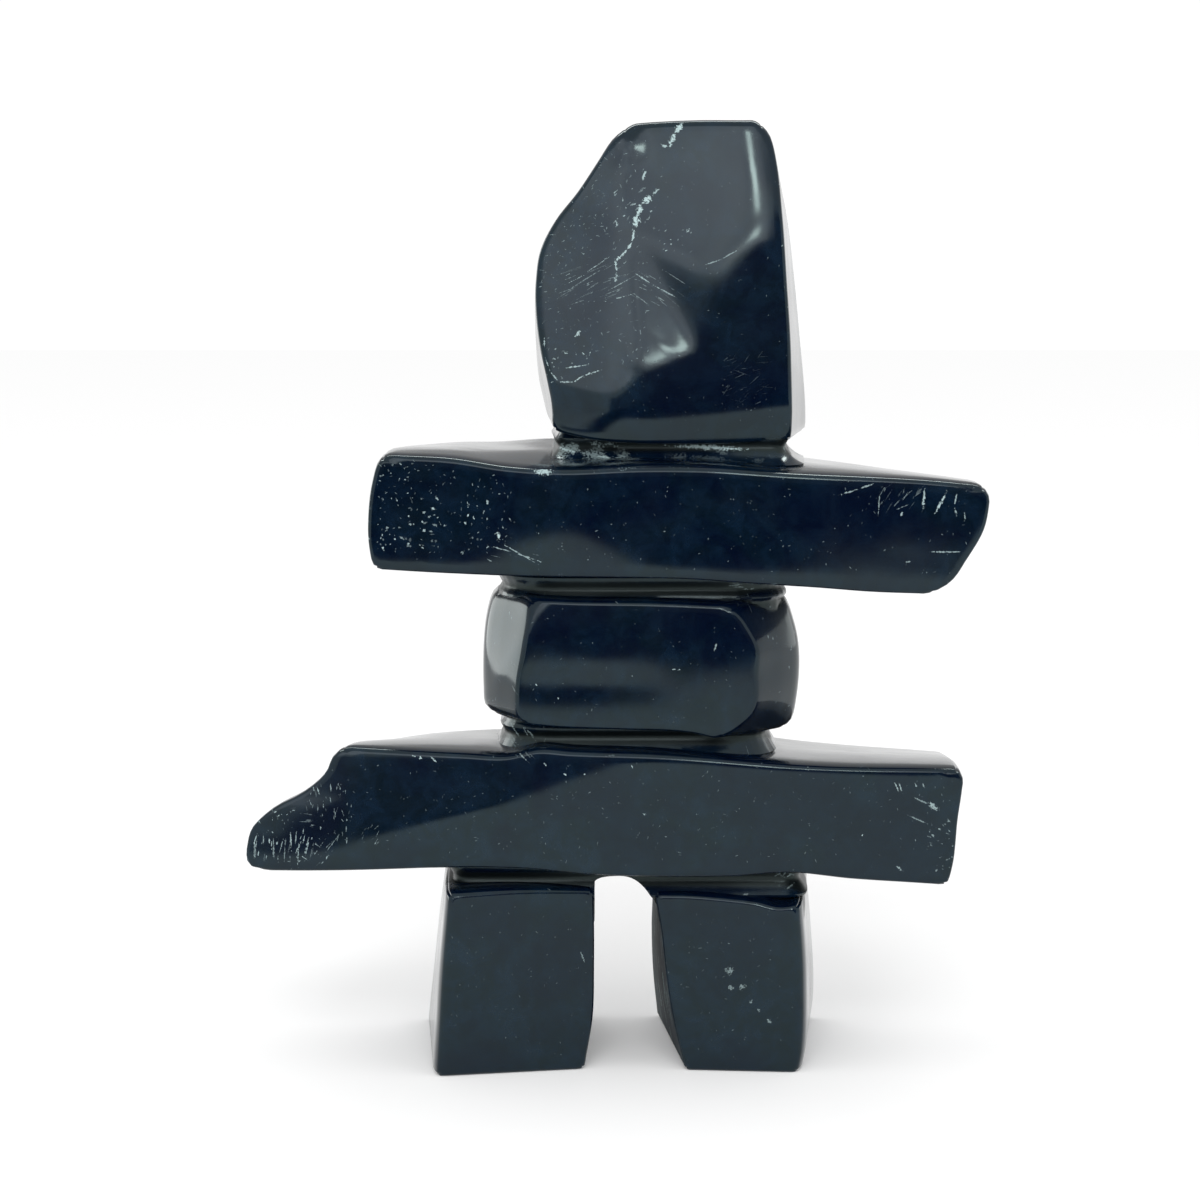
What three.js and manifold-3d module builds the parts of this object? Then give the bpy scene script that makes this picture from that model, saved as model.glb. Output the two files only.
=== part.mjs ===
import * as THREE from 'three';
import { mergeVertices } from 'three/addons/utils/BufferGeometryUtils.js';
import Module from 'manifold-3d';

// An inukshuk, a figure of stacked stones, carved from one block of dark polished serpentine.
// Two legs, a long hip slab, a body block, a long arm slab and an upright head stone.
// Every stone stays joined to the next by a recessed neck that the carver left between them.
// Millimetres, +Z up, the front faces -Y, and the feet stand on z = 0.

// The hips and the arms are slabs that keep the full depth of the block
const SLAB_DEPTH = 50;

// Stones, from the ground up
const LEG_HEIGHT = 39;
const LEG_DEPTH = 45;
const LEFT_LEG_WIDTH = 34.2;
const RIGHT_LEG_WIDTH = 32.4;
const LEG_GAP = 12.5;

const HIPS_WIDTH = 151;
const HIPS_HEIGHT = 27;

const BODY_WIDTH = 68.3;
const BODY_DEPTH = 46;
const BODY_HEIGHT = 29;

const ARMS_WIDTH = 129;
const ARMS_HEIGHT = 24;

const HEAD_WIDTH = 52.7;
const HEAD_DEPTH = 38;
const HEAD_HEIGHT = 66.4;

// Necks: the bare height that shows between two stones, and how far each stands back
const LEG_NECK_HEIGHT = 4;
const WAIST_HEIGHT = 2.4;
const SHOULDER_NECK_HEIGHT = 3.6;
const HEAD_NECK_HEIGHT = 5;
const LEG_NECK_RECESS = 3.2;
const WAIST_RECESS = 5;
const SHOULDER_NECK_RECESS = 5;
const HEAD_NECK_RECESS = 5.5;
const NECK_BITE = 6;

// Where each stone's left end lies, measured from the middle of the figure
const LEG_LEFT = -39;
const HIPS_LEFT = -78.4;
const BODY_LEFT = -28.9;
const ARMS_LEFT = -51.9;
const HEAD_LEFT = -16.7;

// Rounding left by sanding and polishing: along the arrises, and of the corners seen from the front
const ARRIS_RADIUS = 1.3;
const CORNER_RADIUS = 2.2;

// The stack
const HIPS_BASE = LEG_HEIGHT + LEG_NECK_HEIGHT;
const BODY_BASE = HIPS_BASE + HIPS_HEIGHT + WAIST_HEIGHT;
const ARMS_BASE = BODY_BASE + BODY_HEIGHT + SHOULDER_NECK_HEIGHT;
const HEAD_BASE = ARMS_BASE + ARMS_HEIGHT + HEAD_NECK_HEIGHT;

const wasm = await Module();
wasm.setup();

// A smooth line through a few [place, value] pairs. Both are percentages, and it gives a share.
function line(...pairs) {
  const places = pairs.map(([place]) => place / 100);
  const values = pairs.map(([, value]) => value / 100);
  const spline = new THREE.CubicInterpolant(places, values, 1);
  const first = places[0];
  const last = places[places.length - 1];
  return (place) => spline.evaluate(THREE.MathUtils.clamp(place, first, last))[0];
}

const flat = () => 0;

// The larger of two numbers, with a soft change from one to the other
function softLarger(a, b, softness) {
  return (a + b + Math.hypot(a - b, softness)) / 2;
}

// How deep a sloping plane cuts into a front at (x, z).
// It deepens towards an angle, in degrees from the right, from an edge through a point that lies
// edgeX from the figure's middle and edgeRise above the stone's base.
function cut({ slope, toward, edgeX, edgeRise }, base, x, z) {
  const angle = THREE.MathUtils.degToRad(toward);
  return slope * ((x - edgeX) * Math.cos(angle) + (z - (base + edgeRise)) * Math.sin(angle));
}

// Rows of the box: the outer ones lie on the arrises, the next ones end them, and the rest are even
function rowPlace(index, count, half, radius) {
  if (index === 0) return -half;
  if (index === count) return half;
  const share = (index - 1) / (count - 2);
  return (2 * share - 1) * (half - radius);
}

// A point of a box's surface, moved in so that every edge is round
function roundEdges(point, half, radius) {
  const inner = point.clone().clamp(
    half.clone().subScalar(radius).negate(),
    half.clone().subScalar(radius),
  );
  const outward = point.clone().sub(inner).normalize();
  return inner.addScaledVector(outward, radius);
}

// The same for the four corners of the front view, on every outline inside the outer one too
function roundCorners(point, half, radius) {
  const level = Math.max(Math.abs(point.x) / half.x, Math.abs(point.z) / half.z);
  const levelRadius = level * radius;
  const limitX = level * half.x - levelRadius;
  const limitZ = level * half.z - levelRadius;
  const innerX = THREE.MathUtils.clamp(point.x, -limitX, limitX);
  const innerZ = THREE.MathUtils.clamp(point.z, -limitZ, limitZ);
  const awayX = point.x - innerX;
  const awayZ = point.z - innerZ;
  const away = Math.hypot(awayX, awayZ);
  if (away > levelRadius) {
    point.x = innerX + awayX * levelRadius / away;
    point.z = innerZ + awayZ * levelRadius / away;
  }
  return point;
}

// A closed geometry as a solid that can be joined or cut
function solid(geometry) {
  const bare = geometry.clone();
  bare.deleteAttribute('normal');
  bare.deleteAttribute('uv');
  const merged = mergeVertices(bare, 1e-5);
  return new wasm.Manifold(new wasm.Mesh({
    numProp: 3,
    vertProperties: new Float32Array(merged.attributes.position.array),
    triVerts: new Uint32Array(merged.index.array),
  }));
}

// One stone: a box of many faces, bent to its outline.
// left and right are how far its ends stand in, going up, as shares of its height.
// upper and lower are its top and bottom, going across, as shares of its height.
// leftBack, rightBack and upperBack move the same lines at its back, in millimetres or shares.
// front and back give y for a place across and up.
function stone(form) {
  const { width, height, base, start, cells } = form;
  const half = new THREE.Vector3(width / 2, form.depth / 2, height / 2);
  const arris = form.arris ?? ARRIS_RADIUS;
  const corner = form.corner ?? CORNER_RADIUS;
  const geometry = new THREE.BoxGeometry(2, 2, 2, ...cells);
  const places = geometry.attributes.position;
  const point = new THREE.Vector3();
  for (let i = 0; i < places.count; i += 1) {
    point.fromBufferAttribute(places, i);
    const index = point.clone().addScalar(1).divideScalar(2);
    point.x = rowPlace(Math.round(index.x * cells[0]), cells[0], half.x, arris);
    point.y = rowPlace(Math.round(index.y * cells[1]), cells[1], half.y, arris);
    point.z = rowPlace(Math.round(index.z * cells[2]), cells[2], half.z, arris);
    const rounded = roundCorners(roundEdges(point, half, arris), half, corner);
    const across = rounded.x / width + 0.5;
    const depth = rounded.y / form.depth + 0.5;
    const up = rounded.z / height + 0.5;
    const leftEnd = start + height * form.left(up) + form.leftBack(depth, up);
    const rightEnd = start + width - height * form.right(up) + form.rightBack(depth, up);
    const x = leftEnd + (rightEnd - leftEnd) * across;
    const bottom = base + height * form.lower(across);
    const top = base + height * (form.upper(across) + form.upperBack(across) * depth);
    const z = bottom + (top - bottom) * up;
    const front = form.front(across, up, x, z);
    const back = form.back(across, up, x, z);
    places.setXYZ(i, x, front + (back - front) * depth, z);
  }
  return solid(geometry);
}

// A neck: a block with round corners in plan, a little hollow between the stones that it joins.
// spread is how much further out its ends are at the back than at the middle.
function neck({ left, right, front, back, bottom, top, corner, spread = 0 }) {
  const hollow = 0.02;
  const halfWidth = (right - left) / 2;
  const halfDepth = (back - front) / 2;
  const plan = new THREE.Shape();
  plan.moveTo(corner - halfWidth, -halfDepth);
  plan.lineTo(halfWidth - corner, -halfDepth);
  plan.quadraticCurveTo(halfWidth, -halfDepth, halfWidth, corner - halfDepth);
  plan.lineTo(halfWidth, halfDepth - corner);
  plan.quadraticCurveTo(halfWidth, halfDepth, halfWidth - corner, halfDepth);
  plan.lineTo(corner - halfWidth, halfDepth);
  plan.quadraticCurveTo(-halfWidth, halfDepth, -halfWidth, halfDepth - corner);
  plan.lineTo(-halfWidth, corner - halfDepth);
  plan.quadraticCurveTo(-halfWidth, -halfDepth, corner - halfWidth, -halfDepth);
  const geometry = new THREE.ExtrudeGeometry(plan, {
    depth: top - bottom,
    steps: 6,
    bevelEnabled: false,
    curveSegments: 3,
  });
  const places = geometry.attributes.position;
  for (let i = 0; i < places.count; i += 1) {
    const rise = 2 * places.getZ(i) / (top - bottom) - 1;
    const size = 1 - hollow * (1 - rise * rise);
    const widening = 1 + spread / halfWidth * places.getY(i) / halfDepth;
    places.setXY(i, places.getX(i) * size * widening, places.getY(i) * size);
  }
  geometry.translate((left + right) / 2, (front + back) / 2, bottom);
  return solid(geometry);
}

// Straight change from the front to the back
const swing = (amount) => (depth) => amount * depth;

// The left leg: its front is turned a little, with the outer side nearer
function leftLeg() {
  const turn = 5.6;
  const outerFlare = -3.8;
  const innerFlare = -1;
  return stone({
    width: LEFT_LEG_WIDTH,
    depth: LEG_DEPTH,
    height: LEG_HEIGHT,
    base: 0,
    start: LEG_LEFT,
    cells: [8, 8, 8],
    corner: 1.2,
    arris: 1,
    left: line([0, 0], [58, 3.6], [100, 7.2]),
    right: line([0, 5.6], [28, 1], [58, 0], [100, 0.5]),
    upper: line([0, 101], [47, 102], [100, 100.5]),
    lower: flat,
    leftBack: (depth, up) => outerFlare * depth * (1 - 0.5 * up),
    rightBack: swing(innerFlare),
    upperBack: flat,
    front: (across) => -LEG_DEPTH / 2 + turn * (across - 0.7),
    back: (across) => LEG_DEPTH / 2 - turn * (1 - across) * 0.5,
  });
}

// The right leg: its inner side is cut away towards the front and the ground
function rightLeg() {
  const turn = -1.8;
  const outerFlare = 5.2;
  const innerFlare = -5.2;
  const start = LEG_LEFT + LEFT_LEG_WIDTH + LEG_GAP;
  return stone({
    width: RIGHT_LEG_WIDTH,
    depth: LEG_DEPTH,
    height: LEG_HEIGHT,
    base: 0,
    start,
    cells: [8, 8, 8],
    corner: 1.2,
    arris: 1,
    left: line([0, 17.7], [27, 11.3], [55, 6.7], [79, 4.1], [100, 0.5]),
    right: line([0, 2.6], [13, 0.5], [53, 0], [95, 2.1], [100, 2.6]),
    upper: line([0, 98.2], [24, 98.2], [50, 96.7], [72, 94.6], [85, 92.1], [100, 93.1]),
    lower: flat,
    leftBack: (depth, up) => innerFlare * depth * (1 - up),
    rightBack: (depth, up) => outerFlare * depth * (1 - 0.35 * up),
    upperBack: line([0, 0], [100, 4]),
    front: (across) => -LEG_DEPTH / 2 + turn * (across - 0.5),
    back: (across) => LEG_DEPTH / 2 - 1.5 * across * across,
  });
}

// The hips: a long slab with a stepped nose at its left end. The upper left of its front leans back.
function hips() {
  const taper = line([0, 36], [8, 23], [24, 8], [50, 0], [80, 5], [100, 15]);
  const leanPlane = { slope: 0.08, toward: 107.5, edgeX: -59, edgeRise: 5 };
  const leanSoftness = 0.2;
  const lean = (x, z) => softLarger(0, cut(leanPlane, HIPS_BASE, x, z), leanSoftness);
  return stone({
    width: HIPS_WIDTH,
    depth: SLAB_DEPTH,
    height: HIPS_HEIGHT,
    base: HIPS_BASE,
    start: HIPS_LEFT,
    cells: [28, 7, 10],
    corner: 1.6,
    left: line(
      [0, 12], [3.6, 3], [10, 0], [21, 0.5], [35, 4.6], [44, 12.8],
      [53, 24.8], [61, 40.7], [71, 54.4], [80, 62.6], [93, 68.5], [100, 75.9],
    ),
    right: line([0, 10.7], [21, 6.3], [57, 3.7], [82, 0.7], [91, 0], [100, 3.3]),
    upper: line(
      [0, 98.9], [9, 97.4], [20, 95.2], [27, 94.1], [32, 99.3],
      [37, 97.8], [50, 95.9], [58, 93.3], [75, 86.7], [100, 83.7],
    ),
    lower: line(
      [0, 2.6], [12, 3.4], [26, 6], [39, 5.6], [48, 0.8], [68, -0.5], [77, 2.4], [86, -2.6],
      [100, -8.2],
    ),
    leftBack: swing(5),
    rightBack: swing(1.5),
    upperBack: line([0, -13], [10, -9], [20, -7], [32, -6], [60, -8], [80, -11], [100, -13]),
    front: (across, up, x, z) => -SLAB_DEPTH * (0.5 - 0.12 * taper(across)) + lean(x, z),
    back: (across) => SLAB_DEPTH * (0.5 - taper(across)),
  });
}

// The body: a block with barrel sides and broad chamfers up its four corners
function body() {
  const inset = 0.6;
  const chamfer = line([0, 100], [10, 66], [20, 32], [30, 4], [38, 0], [62, 0], [72, 8], [100, 100]);
  const leftChamfer = line([0, 26], [30, 27], [60, 31], [85, 30], [100, 25]);
  const rightChamfer = line([0, 54], [8, 46], [20, 36], [50, 35], [68, 33], [85, 37], [100, 42]);
  const sliverPlane = { slope: 0.33, toward: 148, edgeX: -16.9, edgeRise: 24.7 };
  const sliverSoftness = 0.4;
  const sliver = (x, z) => softLarger(0, cut(sliverPlane, BODY_BASE, x, z), sliverSoftness);
  return stone({
    width: BODY_WIDTH,
    depth: BODY_DEPTH,
    height: BODY_HEIGHT,
    base: BODY_BASE,
    start: BODY_LEFT,
    cells: [12, 12, 8],
    left: line([0, 6], [7, 1.5], [20, 0.3], [55, 0.6], [75, 2.6], [92, 7], [100, 11]),
    right: line([0, 10], [8, 5.4], [24, 2.2], [46, 0.6], [68, 2.2], [86, 7], [100, 12]),
    upper: line([0, 100], [20, 98.5], [60, 97.5], [100, 95]),
    lower: line([0, 9], [8, 7.5], [20, 6], [50, 4.5], [85, 2], [100, -3]),
    leftBack: (depth, up) => BODY_HEIGHT * leftChamfer(up) * chamfer(depth),
    rightBack: (depth, up) => -BODY_HEIGHT * rightChamfer(up) * chamfer(depth),
    upperBack: flat,
    front: (across, up, x, z) => -BODY_DEPTH / 2 + inset + sliver(x, z),
    back: () => BODY_DEPTH / 2,
  });
}

// The arms: a long slab, thinner and cut slanting at its right end
function arms() {
  const taper = line([0, 24], [10, 13], [30, 4], [55, 0], [80, 10], [100, 28]);
  return stone({
    width: ARMS_WIDTH,
    depth: SLAB_DEPTH,
    height: ARMS_HEIGHT,
    base: ARMS_BASE,
    start: ARMS_LEFT,
    cells: [26, 7, 8],
    corner: 1.6,
    left: line([0, 4.2], [24, 0.4], [41, 0], [68, 2.5], [100, 10]),
    right: line([0, 48], [12, 32], [31, 19.5], [59, 4.6], [82, 0.2], [90, 0], [100, 2]),
    upper: line(
      [0, 110.4], [3, 110], [12, 107.5], [21, 100.4], [30, 97.5],
      [43, 100], [53, 99.6], [69, 94.2], [89, 89.2], [100, 83.3],
    ),
    lower: line([0, 12.2], [13, 8.4], [33, 4.8], [55, 3.8], [66, 0.2], [80, -4.6], [89, -8], [100, -10.2]),
    leftBack: flat,
    rightBack: swing(2),
    upperBack: line([0, -4], [15, 5], [27, 15], [50, 9], [72, 1], [88, -5.5], [100, -10]),
    front: (across) => -SLAB_DEPTH * (0.5 - 0.08 * taper(across)),
    back: (across) => SLAB_DEPTH * (0.5 - taper(across)),
  });
}

// The head: an upright stone whose front turns away at the right and is cut in seven facets
function head() {
  const softness = 0.9;
  const turn = 0.12;
  const turnSoftness = 8;
  const rightFlare = 6.8;
  const rightRise = line([0, 79], [20, 72], [34, 62], [52, 57], [77, 41], [85, 29], [100, 10]);
  const leftFlare = -3.2;
  const leftRise = line([0, 45], [9, 80], [15, 82], [28, 50], [41, 25], [60, 8], [80, 0]);
  const brow = { slope: 0.28, toward: 134, edgeX: 19.7, edgeRise: 34.7 };
  const cheek = { slope: 0.28, toward: 171.5, edgeX: 19.7, edgeRise: 34.7 };
  const nose = { slope: 0.19, toward: 105.7, edgeX: 11.9, edgeRise: 17.2 };
  const jaw = { slope: 0.28, toward: 143, edgeX: 4.8, edgeRise: 15.2 };
  const chin = { slope: 0.28, toward: 180, edgeX: -1, edgeRise: 0 };
  const crown = { slope: 0.23, toward: 90, edgeX: 0, edgeRise: 44.5 };
  const foot = { slope: 0.22, toward: -84, edgeX: 0, edgeRise: 1.5 };
  const facets = (x, z) => {
    const depth = (plane) => cut(plane, HEAD_BASE, x, z);
    const high = softLarger(depth(brow), depth(cheek), softness);
    const low = softLarger(softLarger(depth(nose), depth(jaw), softness), depth(chin), softness);
    const left = -softLarger(-high, -low, softness);
    const all = softLarger(softLarger(left, depth(crown), softness), depth(foot), softness);
    return turn * softLarger(0, x, turnSoftness) + softLarger(0, all, softness);
  };
  return stone({
    width: HEAD_WIDTH,
    depth: HEAD_DEPTH,
    height: HEAD_HEIGHT,
    base: HEAD_BASE,
    start: HEAD_LEFT,
    cells: [12, 8, 14],
    left: line(
      [0, 4.6], [9, 4.3], [15, 3.2], [28, 0.5], [42, -0.9], [49, -0.8], [59, 0.7],
      [69, 5.7], [78, 12.5], [88, 19], [95, 23.5], [100, 28.3],
    ),
    right: line(
      [0, -0.8], [9, -1], [21, -0.6], [34, -0.1], [52, 1.2], [71, 2.6], [87, 4.2],
      [95, 6.2], [100, 9.2],
    ),
    upper: line([0, 98.5], [15, 99.1], [51, 99.7], [93, 99.7], [100, 99.8]),
    lower: line([0, 3.3], [9, 1.5], [21, 0], [53, -1.1], [100, -0.3]),
    leftBack: (depth, up) => leftFlare * depth * leftRise(up),
    rightBack: (depth, up) => rightFlare * depth * rightRise(up),
    upperBack: line([0, -4], [100, -3]),
    front: (across, up, x, z) => -HEAD_DEPTH / 2 + facets(x, z),
    back: (across, up) => HEAD_DEPTH / 2 - 5 * up * up,
  });
}

// The necks, each standing back from the stones above and below it
function necks() {
  const legsRight = LEG_LEFT + LEFT_LEG_WIDTH + LEG_GAP + RIGHT_LEG_WIDTH;
  const bodyRight = BODY_LEFT + BODY_WIDTH;
  const headRight = HEAD_LEFT + HEAD_WIDTH;
  const legNeck = neck({
    left: LEG_LEFT + 2.4,
    right: legsRight + 0.6,
    corner: 4,
    spread: 1.2,
    front: -LEG_DEPTH / 2 + LEG_NECK_RECESS,
    back: LEG_DEPTH / 2 - LEG_NECK_RECESS,
    bottom: LEG_HEIGHT - NECK_BITE,
    top: HIPS_BASE + NECK_BITE,
  });
  return [
    legNeck.subtract(crotch()),
    neck({
      left: BODY_LEFT + 4,
      right: bodyRight - 6.4,
      corner: 12,
      front: -BODY_DEPTH / 2 + WAIST_RECESS,
      back: BODY_DEPTH / 2 - WAIST_RECESS,
      bottom: BODY_BASE - WAIST_HEIGHT - NECK_BITE,
      top: BODY_BASE + NECK_BITE,
    }),
    neck({
      left: BODY_LEFT + 3.6,
      right: bodyRight - 3.2,
      corner: 14,
      front: -BODY_DEPTH / 2 + SHOULDER_NECK_RECESS,
      back: BODY_DEPTH / 2 - SHOULDER_NECK_RECESS,
      bottom: ARMS_BASE - SHOULDER_NECK_HEIGHT - NECK_BITE,
      top: ARMS_BASE + NECK_BITE,
    }),
    neck({
      left: HEAD_LEFT + 3.2,
      right: headRight + 0.6,
      corner: 3,
      spread: 0.8,
      front: -HEAD_DEPTH / 2 + HEAD_NECK_RECESS,
      back: HEAD_DEPTH / 2 - HEAD_NECK_RECESS,
      bottom: HEAD_BASE - HEAD_NECK_HEIGHT - NECK_BITE,
      top: HEAD_BASE + NECK_BITE,
    }),
  ];
}

// The arched gap between the legs, under the hips
function crotch() {
  const left = LEG_LEFT + LEFT_LEG_WIDTH;
  const right = left + LEG_GAP;
  const crown = HIPS_BASE - 1.2;
  const spring = LEG_HEIGHT - 3.5;
  const foot = LEG_HEIGHT - 3 * NECK_BITE;
  const outline = new THREE.Shape();
  outline.moveTo(left, foot);
  outline.lineTo(right, foot);
  outline.lineTo(right, spring);
  outline.quadraticCurveTo(right - 2.5, crown, (left + right) / 2 - 1, crown);
  outline.quadraticCurveTo(left + 1, crown, left, crown - 1.2);
  outline.lineTo(left, foot);
  const geometry = new THREE.ExtrudeGeometry(outline, {
    depth: 2 * LEG_DEPTH,
    bevelEnabled: false,
    curveSegments: 6,
  });
  geometry.rotateX(Math.PI / 2);
  geometry.translate(0, LEG_DEPTH, 0);
  return solid(geometry);
}

// All the stones and necks as the one block they are carved from, over the middle of its base
function figure() {
  const pieces = [leftLeg(), rightLeg(), hips(), body(), arms(), head(), ...necks()];
  const whole = pieces.reduce((joined, piece) => joined.add(piece));
  const mesh = whole.getMesh();
  const geometry = new THREE.BufferGeometry();
  geometry.setAttribute('position', new THREE.BufferAttribute(mesh.vertProperties, mesh.numProp));
  geometry.setIndex(new THREE.BufferAttribute(mesh.triVerts, 1));
  geometry.computeVertexNormals();
  geometry.computeBoundingBox();
  const middle = geometry.boundingBox.getCenter(new THREE.Vector3());
  geometry.translate(-middle.x, -middle.y, 0);
  return geometry;
}

const serpentine = new THREE.MeshStandardMaterial({ color: 0x161e24, roughness: 0.16, metalness: 0 });
const inukshuk = new THREE.Mesh(figure(), serpentine);
inukshuk.name = 'inukshuk';

const group = new THREE.Group();
group.add(inukshuk);
export default group;
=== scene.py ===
import math

import bpy
import numpy as np
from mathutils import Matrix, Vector


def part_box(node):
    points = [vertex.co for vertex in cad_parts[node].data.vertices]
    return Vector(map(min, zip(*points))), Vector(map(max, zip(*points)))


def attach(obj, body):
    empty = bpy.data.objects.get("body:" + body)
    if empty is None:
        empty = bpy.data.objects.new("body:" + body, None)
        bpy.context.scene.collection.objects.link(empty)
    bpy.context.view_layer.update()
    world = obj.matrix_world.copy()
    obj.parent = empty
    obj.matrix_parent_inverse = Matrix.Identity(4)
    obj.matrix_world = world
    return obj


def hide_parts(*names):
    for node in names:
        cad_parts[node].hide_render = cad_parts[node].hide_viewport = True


# A figure of stacked stones carved from one block of dark polished serpentine, on a white table.
# The stones are built in millimetres, as the solids are, and come to the frame's metres at the end.
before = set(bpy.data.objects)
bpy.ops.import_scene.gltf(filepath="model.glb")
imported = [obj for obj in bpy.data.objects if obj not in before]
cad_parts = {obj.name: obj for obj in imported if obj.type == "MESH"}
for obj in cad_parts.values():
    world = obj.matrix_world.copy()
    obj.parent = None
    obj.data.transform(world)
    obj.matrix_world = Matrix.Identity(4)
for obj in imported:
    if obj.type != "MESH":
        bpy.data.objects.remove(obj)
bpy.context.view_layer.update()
cad_low, cad_high = (np.array(corner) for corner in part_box("inukshuk"))

# The stones, from the ground up
SLAB_DEPTH = 50
LEG_HEIGHT = 39
LEG_DEPTH = 45
LEFT_LEG_WIDTH = 34.2
RIGHT_LEG_WIDTH = 32.4
LEG_GAP = 12.5
HIPS_WIDTH = 151
HIPS_HEIGHT = 27
BODY_WIDTH = 68.3
BODY_DEPTH = 46
BODY_HEIGHT = 29
ARMS_WIDTH = 129
ARMS_HEIGHT = 24
HEAD_WIDTH = 52.7
HEAD_DEPTH = 38
HEAD_HEIGHT = 66.4

# The necks: bare height between two stones, and how far each stands back
LEG_NECK_HEIGHT = 4
WAIST_HEIGHT = 2.4
SHOULDER_NECK_HEIGHT = 3.6
HEAD_NECK_HEIGHT = 5
LEG_NECK_RECESS = 3.2
WAIST_RECESS = 5
SHOULDER_NECK_RECESS = 5
HEAD_NECK_RECESS = 5.5
NECK_BITE = 6

# Each neck is a groove with slanting walls, cut in between the two stones
GROOVE_SLANT = 0.6
GROOVE_ROUND = 0.35

# Where each stone's left end lies, and the gap's between the legs
LEG_LEFT = -39
GAP_LEFT = LEG_LEFT + LEFT_LEG_WIDTH
HIPS_LEFT = -78.4
BODY_LEFT = -28.9
ARMS_LEFT = -51.9
HEAD_LEFT = -16.7

# The stack
HIPS_BASE = LEG_HEIGHT + LEG_NECK_HEIGHT
BODY_BASE = HIPS_BASE + HIPS_HEIGHT + WAIST_HEIGHT
ARMS_BASE = BODY_BASE + BODY_HEIGHT + SHOULDER_NECK_HEIGHT
HEAD_BASE = ARMS_BASE + ARMS_HEIGHT + HEAD_NECK_HEIGHT

# Rounding: the arrises, the front view's corners, and how far a leg's front arris is eased, over
# what share of its depth. A top swells behind its front arris by each rise, over its share.
ARRIS_RADIUS = 0.9
CORNER_RADIUS = 2.2
LEG_EASING = 1.2
LEG_EASING_SHARE = 0.035
SWELLS = ((0.5, 0.08), (1.3, 0.5))

# The unevenness of hand work: waves of one depth and length, each with its seed
UNEVENNESS = ((0.05, 24, 1), (0.006, 8, 2))

# How fine the surfaces are
SPACING = 1.25
ARRIS_ROWS = 3
NECK_SPACING = 0.5

MILLIMETRES_IN_METRE = 1000


def curve(*pairs):
    """A smooth line through a few (place, value) pairs in percent. It takes and gives shares."""
    places, values = np.array(pairs, float).T / 100
    secants = np.diff(values) / np.diff(places)
    slopes = np.concatenate((secants[:1], (secants[:-1] + secants[1:]) / 2, secants[-1:]))

    def value(place):
        place = np.clip(place, places[0], places[-1])
        piece = np.clip(np.searchsorted(places, place, side="right") - 1, 0, len(places) - 2)
        width = places[piece + 1] - places[piece]
        share = (place - places[piece]) / width
        rise = share * share * (3 - 2 * share)
        leaving = share * (1 - share) ** 2 * width * slopes[piece]
        arriving = share * share * (share - 1) * width * slopes[piece + 1]
        return values[piece] * (1 - rise) + values[piece + 1] * rise + leaving + arriving

    return value


def flat(*places):
    return 0


def swing(amount):
    """Straight change from the front to the back."""
    return lambda deep, up: amount * deep


def soft_larger(a, b, softness):
    """The larger of two numbers, with a soft change from one to the other."""
    return (a + b + np.hypot(a - b, softness)) / 2


def soft_smaller(a, b, softness):
    return -soft_larger(-a, -b, softness)


def smooth(value, start, end):
    """0 before start and 1 after end, with a smooth change between them."""
    share = np.clip((value - start) / (end - start), 0, 1)
    return share * share * (3 - 2 * share)


def waves(points, length, seed):
    """A smooth wavy field, from about -1 to 1, with crests about one length apart."""
    random = np.random.default_rng(seed)
    count = 9
    directions = random.normal(size=(3, count))
    directions /= np.linalg.norm(directions, axis=0)
    turns = 2 * math.pi / length * random.uniform(0.7, 1.4, count)
    phases = random.uniform(0, 2 * math.pi, count)
    return np.sin(points @ (directions * turns) + phases).sum(axis=1) / 4


def rows(half, radius):
    """Places along one axis of a box: close together on its arrises and even between them."""
    count = max(2, round(2 * (half - radius) / SPACING))
    even = np.linspace(radius - half, half - radius, count + 1)
    turns = math.radians(45) * np.arange(1, ARRIS_ROWS + 1) / ARRIS_ROWS
    arris = half - radius + radius * np.tan(turns)
    return np.concatenate((-arris[::-1], even, arris))


def box_grid(xs, ys, zs):
    """The points and the outward quads of a box's surface."""
    shell = np.zeros((len(xs), len(ys), len(zs)), bool)
    shell[[0, -1]] = True
    shell[:, [0, -1]] = True
    shell[:, :, [0, -1]] = True
    number = np.full(shell.shape, -1)
    number[shell] = np.arange(shell.sum())
    i, j, k = np.nonzero(shell)
    points = np.stack((xs[i], ys[j], zs[k]), axis=1)
    sides = (
        (number[0], 1),
        (number[-1], -1),
        (number[:, 0], -1),
        (number[:, -1], 1),
        (number[:, :, 0], 1),
        (number[:, :, -1], -1),
    )
    quads = []
    for sheet, order in sides:
        corners = (sheet[:-1, :-1], sheet[:-1, 1:], sheet[1:, 1:], sheet[1:, :-1])
        quads.append(np.stack(corners[::order], axis=2).reshape(-1, 4))
    return points, np.concatenate(quads)


def round_corners(points, half, lower, upper):
    """Rounds the four corners of the front view, on every outline inside the outer one too."""
    places = points[:, [0, 2]]
    sizes = half[[0, 2]]
    level = (np.abs(places) / sizes).max(axis=1)[:, None]
    reach = level * np.where(places[:, 1:] < 0, lower, upper)
    limit = level * sizes - reach
    inner = np.clip(places, -limit, limit)
    away = places - inner
    distance = np.linalg.norm(away, axis=1)[:, None]
    pulled = inner + away * reach / np.maximum(distance, 1e-9)
    points[:, [0, 2]] = np.where(distance > reach, pulled, places)
    return points


def placed(name, data):
    """A new object in the scene."""
    made = bpy.data.objects.new(name, data)
    bpy.context.scene.collection.objects.link(made)
    return made


def model(name, points, faces):
    """A new object from points and faces."""
    mesh = bpy.data.meshes.new(name)
    mesh.from_pydata(points.tolist(), [], faces)
    return placed(name, mesh)


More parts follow.
